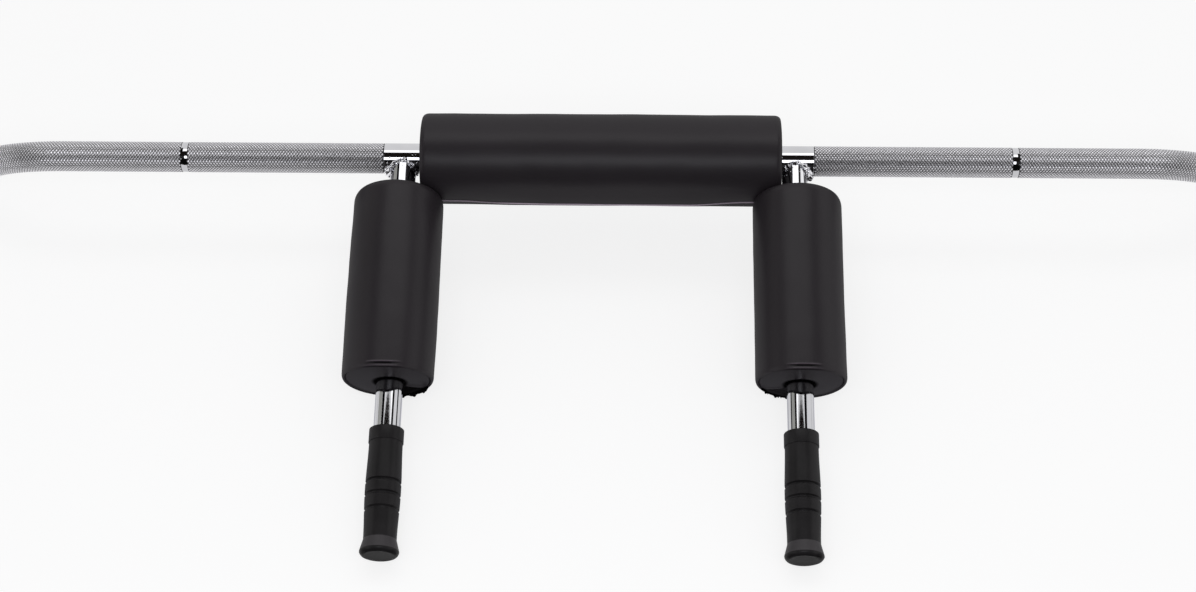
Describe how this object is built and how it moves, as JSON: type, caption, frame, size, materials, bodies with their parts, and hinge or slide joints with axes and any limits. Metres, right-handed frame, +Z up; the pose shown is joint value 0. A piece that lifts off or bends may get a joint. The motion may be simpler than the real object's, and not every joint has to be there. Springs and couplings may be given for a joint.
{
  "type": "safety squat bar",
  "caption": "Cambered chromed barbell for squats, with padded shoulder arms, a padded neck rest, rubber hand grips and spinning loading sleeves.",
  "frame": {"origin": "on the floor under the middle of the bar's footprint, with the bar at rest on its two sleeve flanges and its two hand grips", "axes": "+X along the shaft towards the right sleeve, -Y the way the arms point, +Z up; the shaft's axis lies at y 0.161, z 0.106 and the arms slope down to the front by 12.5 degrees"},
  "size_m": [2.2016, 0.485, 0.1507],
  "materials": {
    "polished_chrome": "polished",
    "knurled_chrome": "satin",
    "welded_chrome": "gloss",
    "bronze": "satin",
    "zinc": "satin",
    "black_rubber": "matte",
    "black_vinyl": "satin",
    "black_tape": "matte",
    "grey_foam": "matte"
  },
  "bodies": {
    "bar": {"shaft": "knurled_chrome", "left_arm_tube": "polished_chrome", "right_arm_tube": "polished_chrome", "left_weld_bead": "welded_chrome", "right_weld_bead": "welded_chrome", "left_hand_grip": "black_rubber", "right_hand_grip": "black_rubber", "neck_pad_foam": "grey_foam", "neck_pad_cover": "black_vinyl", "neck_pad_hook_strip": "black_tape", "neck_pad_loop_strip": "black_tape", "left_arm_pad_foam": "grey_foam", "left_arm_pad_cover": "black_vinyl", "left_arm_pad_hook_strip": "black_tape", "left_arm_pad_loop_strip": "black_tape", "right_arm_pad_foam": "grey_foam", "right_arm_pad_cover": "black_vinyl", "right_arm_pad_hook_strip": "black_tape", "right_arm_pad_loop_strip": "black_tape", "left_stop_ring": "polished_chrome", "right_stop_ring": "polished_chrome", "left_end_washer": "zinc", "right_end_washer": "zinc", "left_end_bolt": "zinc", "right_end_bolt": "zinc"},
    "left_sleeve_body": {"left_sleeve": "polished_chrome", "left_inner_bushing": "bronze", "left_outer_bushing": "bronze"},
    "right_sleeve_body": {"right_sleeve": "polished_chrome", "right_inner_bushing": "bronze", "right_outer_bushing": "bronze"}
  },
  "joints": [
    {"name": "left_sleeve_spin", "type": "hinge", "parent": "bar", "child": "left_sleeve_body", "pos_m": [-0.71077, 0.20349, 0.039], "axis": [1, 0, 0], "continuous": true},
    {"name": "right_sleeve_spin", "type": "hinge", "parent": "bar", "child": "right_sleeve_body", "pos_m": [0.71077, 0.20349, 0.039], "axis": [1, 0, 0], "continuous": true}
  ]
}
